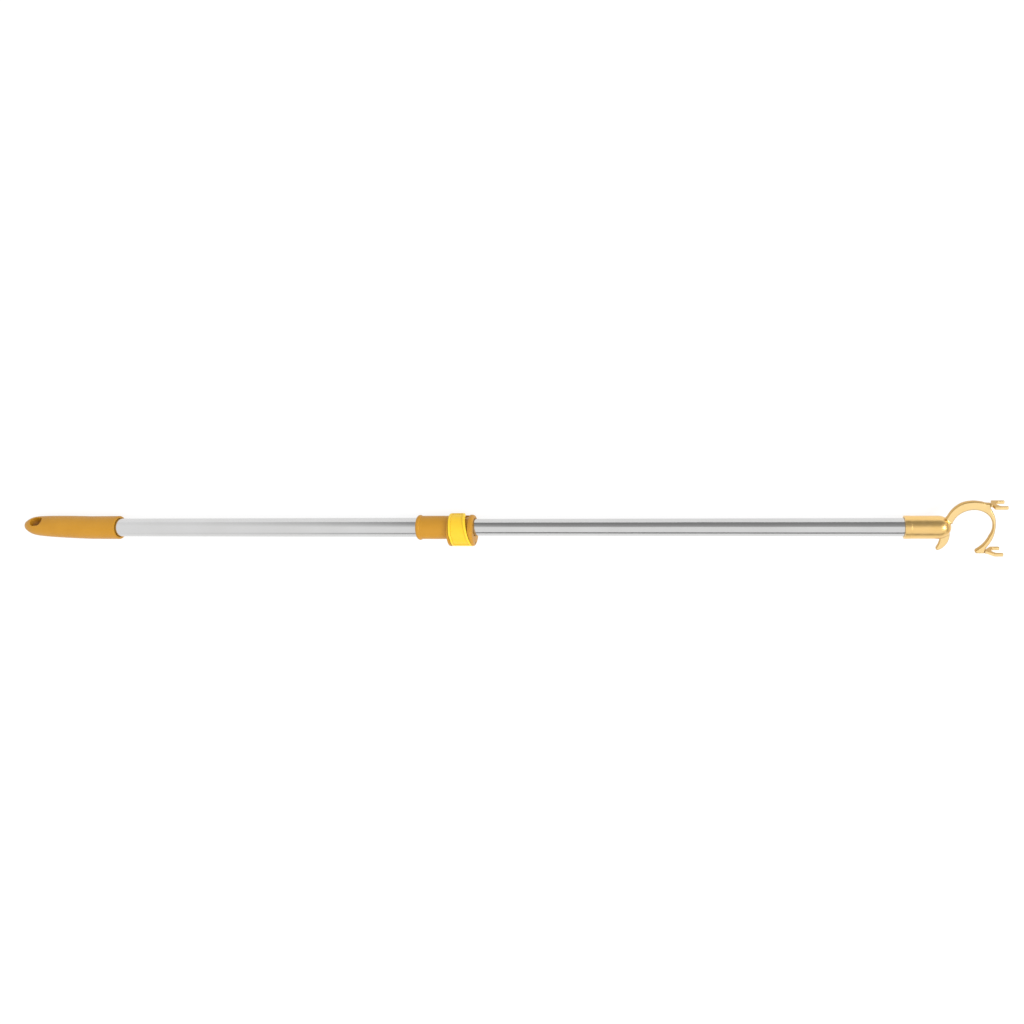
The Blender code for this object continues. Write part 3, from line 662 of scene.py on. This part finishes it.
def lever_ring(degrees):
    """The lever's cross-section at one angle: inside from tail to front, then outside back again."""
    from_end = LEVER_OUTSIDE[1] * math.radians(LEVER_END - degrees)
    turned_in = max(0.0, 1.0 - from_end / LEVER_CORNER_LENGTH)
    inset = LEVER_CORNER_WIDTH * (1.0 - math.sqrt(1.0 - turned_in**2))
    sunk = LEVER_RECESS * eased((from_end - LEVER_END_RIM) / LEVER_END_EASE)
    from_hinge = LEVER_OUTSIDE[1] * math.radians(degrees - LEVER_START)
    sunk *= eased((from_hinge - LEVER_PLAIN) / LEVER_PLAIN_EASE)
    closing = 0.55 * max(0.0, 1.0 - from_end / LEVER_END_ROUND) ** 2
    side, up = math.sin(math.radians(degrees)), math.cos(math.radians(degrees))
    inner = Vector((LAND[0] + (LAND[1] + GAP) * side, (LAND[1] + GAP) * up))
    outer = Vector((LEVER_OUTSIDE[0] + LEVER_OUTSIDE[1] * side, LEVER_OUTSIDE[1] * up))
    thick = (outer - inner).length
    width = lever_front(outer.x) - lever_tail(outer.x) - 2 * inset
    rim = LEVER_RIM / width

    def point(along, height):
        """along runs from 0 at the tail to 1 at the front, height from 0 inside to 1 outside."""
        spot = inner.lerp(outer, height)
        tail, front = lever_tail(spot.x) + inset, lever_front(spot.x) - inset
        return Vector((tail + (front - tail) * along, spot.x, spot.y))

    step = 0.4 * MM / width
    low_edge = [(0.0, 0.12), (0.15 * step, 0.04), (step, 0.0)]
    inside = low_edge + [(1 - a, h) for a, h in reversed(low_edge)]
    top = 1.0 - closing
    dip = top - sunk / thick
    edge = LEVER_EDGE_R / width
    rise = LEVER_EDGE_R / thick
    outside = [(0.0, top - rise), (0.08 * edge, top - 0.62 * rise), (0.3 * edge, top - 0.3 * rise)]
    outside += [(0.62 * edge, top - 0.08 * rise), (edge, top), (2 * edge, top)]
    slope = RIM_SLOPE / width
    groove = [(rim - 0.5 * slope, top), (rim, 0.93 * top + 0.07 * dip)]
    groove += [(rim + 0.5 * slope, (top + dip) / 2), (rim + slope, 0.07 * top + 0.93 * dip)]
    groove += [(rim + 1.5 * slope, dip)]
    ribs = []
    rib = LEVER_RIB_HEIGHT / thick * sunk / LEVER_RECESS
    first = rim + 1.5 * slope
    for i in range(1, 24):
        along = first + (0.5 - first) * i / 24
        wave = math.sin(math.pi * LEVER_RIBS * (along - first) / (1 - 2 * first)) ** 2
        ribs.append((along, dip - wave * rib))
    half = outside + groove + ribs
    across = half + [(0.5, dip - rib)] + [(1 - a, h) for a, h in reversed(half)]
    return [point(a, h) for a, h in inside] + [point(a, h) for a, h in reversed(across)]


def make_lever():
    """The lever: its curved band, its knuckle and its cam, with painted shade on the recess and darker
    painted shade on its grooves.
    """
    angles = [LEVER_START + (LEVER_END - LEVER_START) * i / LEVER_STEPS for i in range(LEVER_STEPS + 1)]
    fine = LEVER_END - angles[-2]
    angles[-1:] = [LEVER_END - fine * (1 - k / 5) * 0.8 for k in range(6)]
    band = skin([lever_ring(degrees) for degrees in angles])
    tail, front = lever_tail(HINGE_Y), lever_front(HINGE_Y)
    corners = [(tail, 0), (tail, KNUCKLE_R), (front, KNUCKLE_R), (front, 0)]
    knuckle = turned(supported(rounded(corners, (0, 0.5 * MM, 0.5 * MM, 0))), steps=72)
    cam = rod((tail + MM, CAM_OFFSET, 0), (front - MM, CAM_OFFSET, 0), CAM_R, 72)
    knuckle.transform(Matrix.Translation((0, HINGE_Y, 0)))
    cam.transform(Matrix.Translation((0, HINGE_Y, 0)))
    lever = combined(band, [knuckle, cam], "UNION")
    bore = rod((tail - MM, HINGE_Y, 0), (front + MM, HINGE_Y, 0), PIN_BORE_R, 48)
    lever = piece("lever", combined(lever, [bore]), HANDLE, "lever", YELLOW)
    to_pole = HANDLE.inverted()

    def depth(face):
        """How deep a face of the recess lies under the rims, or -1 for every other face."""
        centre = to_pole @ face.center
        if not lever_tail(centre.y) + 1.5 * MM < centre.x < lever_front(centre.y) - 1.5 * MM:
            return -1.0
        below = LEVER_OUTSIDE[1] - math.hypot(centre.y - LEVER_OUTSIDE[0], centre.z)
        return below if below < 1.2 * LEVER_RECESS else -1.0

    # Painted shade: the recess floor and the slopes down into it get darker copies of the yellow
    tint(lever, YELLOW_RECESS_SHADE, lambda face: depth(face) > RECESS_FROM)
    tint(lever, YELLOW_GROOVE_SHADE, lambda face: GROOVE_FROM < depth(face) <= RECESS_FROM)


# ---------------------------------------------------------------- hook


SOCKET_R = 11.95 * MM
SOCKET_BORE_R = 9.8 * MM
INNER_FRONT_X = 497.5 * MM
DOME_END_X = 514.6 * MM
DOME_LENGTH = 12.5 * MM
DOME_STEPS = 40
HOOK_X = 534.0 * MM
HOOK_R = 19.4 * MM
HOOK_HALF_DEPTH = 3.0 * MM
HOOK_EDGE_R = 1.3 * MM
SPUR_HALF_DEPTH = 2.6 * MM
SPUR_EDGE_R = 1.1 * MM
MOUTH_EDGE_R = 0.4 * MM
LIP_LENGTH = 6.0 * MM  # the socket is a little wider over this length from its mouth
LIP_STEP = 0.15 * MM
EDGE_LEAN = 0.8  # a face whose normal has less +Z than this is an edge of a flat casting, and gets painted shade
STEMS = ((549.0 * MM, 23.9 * MM), (548.0 * MM, -26.8 * MM))  # where each fork's stem enters
STEM_R = 0.85 * MM
STEM_DEPTH = 3.0 * MM
VOXEL = 0.32 * MM

# Distances from the socket's mouth at which its outline has a point, in millimetres
SOCKET_STATIONS = (0.1, 0.2, 0.4, 2, 4, 5.9, 6.0, 6.1, 6.2, 6.3, 6.5, 9, 15, 22, 28)


def arc(centre, radius, start, end, count):
    """Points on a circle, from one angle in degrees to another."""
    angles = [math.radians(start + (end - start) * i / (count - 1)) for i in range(count)]
    return [(centre[0] + radius * math.cos(a), centre[1] + radius * math.sin(a)) for a in angles]


def smooth_line(points, per_span=8):
    """A smooth open line through the given points."""
    line = []
    ends = [points[0]] + points + [points[-1]]
    for a, b, c, d in zip(ends, ends[1:], ends[2:], ends[3:]):
        for i in range(per_span):
            t = i / per_span
            weights = (
                -0.5 * t**3 + t**2 - 0.5 * t,
                1.5 * t**3 - 2.5 * t**2 + 1.0,
                -1.5 * t**3 + 2.0 * t**2 + 0.5 * t,
                0.5 * t**3 - 0.5 * t**2,
            )
            line.append(tuple(sum(w * p[k] for w, p in zip(weights, (a, b, c, d))) for k in (0, 1)))
    line.append(points[-1])
    return line


def plate(outline, half_thickness, bevel, steps=3):
    """A flat outline, filled and thickened both ways, with rounded edges."""
    curve = bpy.data.curves.new("outline", "CURVE")
    curve.dimensions = "2D"
    curve.fill_mode = "BOTH"
    curve.extrude = half_thickness - bevel
    curve.bevel_depth = bevel
    curve.bevel_resolution = steps
    curve.offset = -bevel
    spline = curve.splines.new("POLY")
    spline.points.add(len(outline) - 1)
    for point, (x, y) in zip(spline.points, outline):
        point.co = (x, y, 0.0, 1.0)
    spline.use_cyclic_u = True
    obj = bpy.data.objects.new("outline", curve)
    bpy.context.scene.collection.objects.link(obj)
    bpy.context.view_layer.update()
    graph = bpy.context.evaluated_depsgraph_get()
    mesh = bpy.data.meshes.new_from_object(obj.evaluated_get(graph))
    bpy.data.objects.remove(obj, do_unlink=True)
    shape = bmesh.new()
    shape.from_mesh(mesh)
    bmesh.ops.remove_doubles(shape, verts=shape.verts, dist=MERGE)
    bmesh.ops.recalc_face_normals(shape, faces=shape.faces)
    shape.to_mesh(mesh)
    shape.free()
    return mesh


def hook_outline():
    """The round hook and its foot, from points in millimetres from the hook's centre."""
    outer = [(-28.0, 6.0), (-24.2, 11.3), (-21.0, 17.2), (-16.4, 22.6), (-10.0, 26.7), (-1.5, 28.25)]
    outer += [(6.5, 27.4), (11.0, 26.1), (15.0, 25.9)]
    right = [(15.3, 21.2), (17.7, 17.2), (19.8, 12.8), (21.2, 7.4), (21.7, 1.0), (21.3, -6.0)]
    right += [(19.8, -12.4), (17.3, -18.0), (15.2, -21.4)]
    foot = [(14.0, -24.6), (14.0, -28.1), (6.4, -28.1), (5.2, -27.2), (5.0, -26.0)]
    inner = [(5.6, -24.8), (9.9, -21.2), (13.4, -16.9), (16.1, -12.0)]
    points = smooth_line(outer) + smooth_line(right) + foot + smooth_line(inner)
    placed = [(HOOK_X + x * MM, y * MM) for x, y in points]
    return placed + arc((HOOK_X, 0.0), HOOK_R, -30.0, 168.0, 90)


def spur_outline():
    """The small back-hook under the dome, from points in millimetres from the hook's centre."""
    inner = [(-29.0, -8.0), (-29.4, -14.4), (-30.4, -18.6), (-32.1, -22.2)]
    tip = [(-32.3, -24.0), (-30.9, -24.9)]
    outer = [(-28.2, -23.9), (-24.6, -20.6), (-21.8, -16.0), (-20.6, -11.0), (-20.4, -6.0)]
    points = smooth_line(inner) + tip + smooth_line(outer)
    return [(HOOK_X + x * MM, y * MM) for x, y in points]


def socket_radius(x, mouth):
    """The socket's and the dome's radius at x, or None past the dome's end."""
    lip = mouth + LIP_LENGTH
    thin = SOCKET_R - LIP_STEP
    start = DOME_END_X - DOME_LENGTH
    if x < lip:
        return SOCKET_R - MOUTH_EDGE_R * max(0.0, 1 - (x - mouth) / MOUTH_EDGE_R) ** 2
    if x < start:
        return SOCKET_R - LIP_STEP * eased((x - lip) / (0.3 * MM))
    if x < DOME_END_X:
        return thin * math.sqrt(1 - ((x - start) / DOME_LENGTH) ** 2)
    return None


def settle(mesh, mouth):
    """Brings a remeshed casting back to its true round and flat faces, where it is close to them."""
    near = 0.16 * MM
    near_flat = 0.06 * MM
    dome_tip = DOME_END_X - 0.8 * MM  # the dome is too steep to settle past here
    for vertex in mesh.vertices:
        x, y, z = vertex.co
        distance = math.hypot(y, z)
        radius = socket_radius(x, mouth)
        if radius and distance > MM and abs(distance - radius) < near and x < dome_tip:
            vertex.co.y *= radius / distance
            vertex.co.z *= radius / distance
        elif abs(abs(z) - HOOK_HALF_DEPTH) < near_flat:
            vertex.co.z = math.copysign(HOOK_HALF_DEPTH, z)
        if abs(x - mouth) < near_flat:
            vertex.co.x = mouth


def make_hook():
    """The casting: socket, dome, hook and spur grown into one, then bored, with painted shade on the
    socket and on the side faces of the hook and spur.
    """
    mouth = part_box("hook_head")[0].x
    start = DOME_END_X - DOME_LENGTH
    profile = [(mouth, 0), (mouth, SOCKET_R - MOUTH_EDGE_R)]
    stations = [mouth + station * MM for station in SOCKET_STATIONS]
    profile += [(x, socket_radius(x, mouth)) for x in stations]
    for i in range(DOME_STEPS):
        x = start + DOME_LENGTH * math.sin(math.radians(90 * i / DOME_STEPS))
        profile.append((x, socket_radius(x, mouth)))
    profile.append((DOME_END_X, 0.0))
    shape = bmesh.new()
    arm = plate(hook_outline(), HOOK_HALF_DEPTH, HOOK_EDGE_R, 5)
    spur = plate(spur_outline(), SPUR_HALF_DEPTH, SPUR_EDGE_R, 5)
    for mesh in (turned(profile), arm, spur):
        shape.from_mesh(mesh)
    joined = bpy.data.meshes.new("casting")
    shape.to_mesh(joined)
    shape.free()
    casting = modified(joined, "REMESH", [{"mode": "VOXEL", "voxel_size": VOXEL, "adaptivity": 0.0}])
    casting = modified(casting, "SMOOTH", [{"factor": 0.5, "iterations": 7}])
    settle(casting, mouth)
    cuts = [rod((mouth - MM, 0, 0), (INNER_FRONT_X + GAP, 0, 0), SOCKET_BORE_R, 126)]
    seat = -SOCKET_R + MM
    steps = [(-THROUGH, 0), (-THROUGH, SCREW_HEAD_R), (seat, SCREW_HEAD_R)]
    steps += [(seat, SCREW_R), (-8 * MM, SCREW_R), (-8 * MM, 0)]
    screw = turned(steps, steps=40)
    upright = Matrix.Rotation(math.radians(-90), 4, "Y") @ Matrix.Rotation(math.radians(4), 4, "X")
    screw.transform(Matrix.Translation((HEAD_SCREW_X, 0, 0)) @ upright)
    cuts.append(screw)
    for x, y in STEMS:
        cuts.append(rod((x - STEM_DEPTH - GAP, y, 0), (x + MM, y, 0), STEM_R + 0.2 * MM, 32))
    casting = combined(casting, cuts)
    hook = piece("hook_head", casting, HEAD, "head", GOLD)

    def off_socket(face):
        """Whether a face belongs to the hook or the spur, and not to the socket or its dome."""
        radius = socket_radius(face.center.x, mouth)
        return not radius or math.hypot(face.center.y, face.center.z - AXIS_Z) > radius + 0.3 * MM

    # Painted shade: the side faces of the hook and spur get the darker gold
    tint(hook, GOLD_SIDE_SHADE, lambda face: off_socket(face) and abs(face.normal.z) < EDGE_LEAN)
    # Painted shade: the socket and its dome get the darker gold
    tint(hook, GOLD_SOCKET_SHADE, lambda face: not off_socket(face))


FORK_HALF_SPAN = 9.4 * MM
FORK_SLOT_HALF = 6.2 * MM
FORK_HALF_THICK = 1.5 * MM
FORK_NECK_HALF = 2.6 * MM
FORK_EDGE_R = 0.5 * MM
FORK_EDGE_LEAN = 0.5  # as EDGE_LEAN, for the forks


def fork_side(root_x, flare_x, slot_x, tip_x):
    """One side of a fork, from its root out to a tine's tip and back to the foot of the slot."""
    span, slot = FORK_HALF_SPAN, FORK_SLOT_HALF
    corners = [
        ((root_x, FORK_NECK_HALF), 0.0),
        ((root_x + 1.5 * MM, FORK_NECK_HALF), 0.7 * MM),
        ((flare_x, span), 1.2 * MM),
        ((tip_x, span), 1.3 * MM),
        ((tip_x, slot), 0.9 * MM),
        ((slot_x + 3.2 * MM, slot), 1.6 * MM),
        ((slot_x + 0.8 * MM, 2.2 * MM), 1.5 * MM),
        ((slot_x, 0.0), 0.0),
    ]
    points, reaches = zip(*corners)
    return [tuple(point) for point in rounded(points, reaches, steps=5)]


def make_fork(name, boss_x, height, flare, slot):
    """A two-tined fork, whose stem is pressed into the hook."""
    tip_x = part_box(name)[1].x
    root_x = boss_x + GAP
    side = fork_side(root_x, root_x + flare, root_x + slot, tip_x)
    outline = side + [(x, -z) for x, z in reversed(side[:-1])]
    stand = Matrix.Translation((0, height, 0)) @ Matrix.Rotation(math.radians(90), 4, "X")
    fork = plate(outline, FORK_HALF_THICK, FORK_EDGE_R)
    fork.transform(stand)
    stem = rod((boss_x - STEM_DEPTH, height, 0), (root_x + 2 * MM, height, 0), STEM_R, 32)
    fork = piece(name, combined(fork, [stem], "UNION"), HEAD, "head", GOLD)
    # Painted shade: the fork's side faces get the darker gold
    tint(fork, GOLD_SIDE_SHADE, lambda face: abs(face.normal.z) < FORK_EDGE_LEAN)


make_grip()
make_tubes()
make_clamp()
make_lever()
make_hook()
make_fork("upper_fork", *STEMS[0], 2.2 * MM, 4.6 * MM)
make_fork("lower_fork", *STEMS[1], 7.0 * MM, 5.6 * MM)


# ---------------------------------------------------------------- studio


def emission(name, stops_x, stops_z):
    """A grey card's own light: its level up the card, and how far it fades to the world's along x."""
    material = bpy.data.materials.new(name)
    material.use_nodes = True
    tree = material.node_tree
    tree.nodes.clear()
    out = tree.nodes.new("ShaderNodeOutputMaterial")
    emit = tree.nodes.new("ShaderNodeEmission")
    coords = tree.nodes.new("ShaderNodeTexCoord")
    split = tree.nodes.new("ShaderNodeSeparateXYZ")
    tree.links.new(coords.outputs["Generated"], split.inputs["Vector"])
    ramps = []
    for axis, stops in (("X", stops_x), ("Z", stops_z)):
        ramp = tree.nodes.new("ShaderNodeValToRGB")
        while len(ramp.color_ramp.elements) < len(stops):
            ramp.color_ramp.elements.new(0.5)
        for element, (position, value) in zip(ramp.color_ramp.elements, stops):
            element.position = position
            element.color = (value, value, value, 1.0)
        tree.links.new(split.outputs[axis], ramp.inputs["Fac"])
        ramps.append(ramp)
    mix = tree.nodes.new("ShaderNodeMix")
    mix.data_type = "RGBA"
    # A colour mix has its two colours in sockets 6 and 7, and its result in socket 2
    tree.links.new(ramps[0].outputs["Color"], mix.inputs["Factor"])
    tree.links.new(ramps[1].outputs["Color"], mix.inputs[6])
    mix.inputs[7].default_value = (WORLD_LEVEL, WORLD_LEVEL, WORLD_LEVEL, 1.0)
    tree.links.new(mix.outputs[2], emit.inputs["Color"])
    tree.links.new(emit.outputs["Emission"], out.inputs["Surface"])
    return material


def card(name, corners, material):
    """A card that shows only in reflections."""
    mesh = bpy.data.meshes.new(name)
    mesh.from_pydata([Vector(c) for c in corners], [], [(0, 1, 2, 3)])
    mesh.materials.append(material)
    obj = bpy.data.objects.new(name, mesh)
    bpy.context.scene.collection.objects.link(obj)
    obj.visible_camera = False
    obj.visible_diffuse = False
    obj.visible_shadow = False
    obj.visible_transmission = False


def softbox(name, place, target, size, energy):
    """A rectangular area light at one place, which looks at another."""
    data = bpy.data.lights.new(name, "AREA")
    data.shape = "RECTANGLE"
    data.size, data.size_y = size
    data.energy = energy
    obj = bpy.data.objects.new(name, data)
    obj.location = place
    obj.rotation_euler = (Vector(target) - Vector(place)).to_track_quat("-Z", "Y").to_euler()
    bpy.context.scene.collection.objects.link(obj)
    return obj


WORLD_LEVEL = 1.05
world = bpy.data.worlds.new("studio")
world.use_nodes = True
world.node_tree.nodes["Background"].inputs["Color"].default_value = (1.0, 1.0, 1.0, 1.0)
world.node_tree.nodes["Background"].inputs["Strength"].default_value = WORLD_LEVEL
bpy.context.scene.world = world
bpy.context.scene.view_settings.view_transform = "Standard"

# These two light the rough surfaces only, so that they leave no streaks on the tubes
front_light = softbox("front_light", (0.25, -0.55, 1.2), (0.05, 0, 0), (1.7, 1.7), 8.0)
front_light.visible_glossy = False
side_data = bpy.data.lights.new("side_light", "SUN")
side_data.energy = 0.95
side_data.angle = math.radians(25)
side_light = bpy.data.objects.new("side_light", side_data)
side_light.rotation_euler = Vector((0.75, 0.12, 0.65)).to_track_quat("Z", "Y").to_euler()
side_light.visible_glossy = False
bpy.context.scene.collection.objects.link(side_light)
softbox("dome_light", (1.55, 0.25, 0.95), (0.5, 0, 0), (0.4, 0.4), 6.0)

back_card = emission(
    "back_card",
    [(0.0, 1.0), (0.14, 0.85), (0.20, 0.65), (0.26, 0.42), (0.32, 0.10), (0.36, 0.0)],
    [(0.0, 0.28), (0.2, 0.31), (0.45, 0.40), (0.75, 0.50), (1.0, 0.68)],
)
card("back_card", [(-1.5, 1.2, 0.0), (1.9, 1.2, 0.0), (1.9, 1.2, 2.5), (-1.5, 1.2, 2.5)], back_card)
front_card = emission(
    "front_card",
    [(0.0, 1.0), (0.16, 0.8), (0.36, 0.0), (1.0, 0.0)],
    [(0.0, 0.22), (1.0, 0.28)],
)
front_corners = [(-1.5, -1.2, 0.56), (1.9, -1.2, 0.56), (1.9, -1.2, 1.16), (-1.5, -1.2, 1.16)]
card("front_card", front_corners, front_card)
side_card = emission("side_card", [(0.0, 0.0), (1.0, 0.0)], [(0.0, 0.30), (0.6, 0.35), (1.0, 0.7)])
card("side_card", [(2.2, 1.0, 0.0), (2.2, -1.0, 0.0), (2.2, -1.0, 0.9), (2.2, 1.0, 0.9)], side_card)

FLOOR_REACH = 8.0
FLOOR_DROP = 0.05 * MM  # below the object's lowest point
FLOOR_GLOW = 0.86
floor_corners = [(FLOOR_REACH * x, FLOOR_REACH * y, 0) for x, y in ((-1, -1), (1, -1), (1, 1), (-1, 1))]
floor_mesh = bpy.data.meshes.new("floor")
floor_mesh.from_pydata(floor_corners, [], [(0, 1, 2, 3)])
floor = bpy.data.objects.new("floor", floor_mesh)
floor.location.z = -FLOOR_DROP
bpy.context.scene.collection.objects.link(floor)
floor_look = Nodes("floor_look")
floor_look.set(roughness=0.9, specular=0.0)
floor_look.shader.inputs["Emission Color"].default_value = (1.0, 1.0, 1.0, 1.0)
floor_look.shader.inputs["Emission Strength"].default_value = FLOOR_GLOW
floor_clouds = floor_look.noise(floor_look.coords(), 3.0)
floor_tones = [(0.3, (0.14, 0.14, 0.14)), (0.7, (0.16, 0.16, 0.16))]
floor_look.into(floor_look.ramp(floor_clouds, floor_tones), "Base Color")
floor_mesh.materials.append(floor_look.material)

# The camera looks down on the pole from its +Y side, and from a little nearer the hook's end
YAW = math.radians(12.3)
ROLL = math.radians(22.0)
CAMERA_LENS = 33.43
CAMERA_DISTANCE = 1.060
CAMERA_X = 0.0595  # the point on the pole's axis that it looks at
CAMERA_RISE = 0.0171  # how far above that point, in its own view, its line of sight passes
CAMERA_TILT = 0.0039  # radians of roll about its own line of sight
toward = Vector((0, math.sin(ROLL), math.cos(ROLL)))
up = Vector((0, math.cos(ROLL), -math.sin(ROLL)))
along = Vector((1, 0, 0))
back = math.cos(YAW) * toward + math.sin(YAW) * along
right = math.cos(YAW) * along - math.sin(YAW) * toward
camera_data = bpy.data.cameras.new("camera")
camera_data.lens = CAMERA_LENS
camera_data.sensor_width = 36.0
camera_data.clip_start = 0.01
camera = bpy.data.objects.new("camera", camera_data)
bpy.context.scene.collection.objects.link(camera)
up, right = (up + CAMERA_TILT * right).normalized(), (right - CAMERA_TILT * up).normalized()
place = Vector((CAMERA_X, 0, AXIS_Z)) + CAMERA_DISTANCE * back + CAMERA_RISE * up
camera.matrix_world = Matrix.Translation(place) @ Matrix((right, up, back)).transposed().to_4x4()
bpy.context.scene.camera = camera
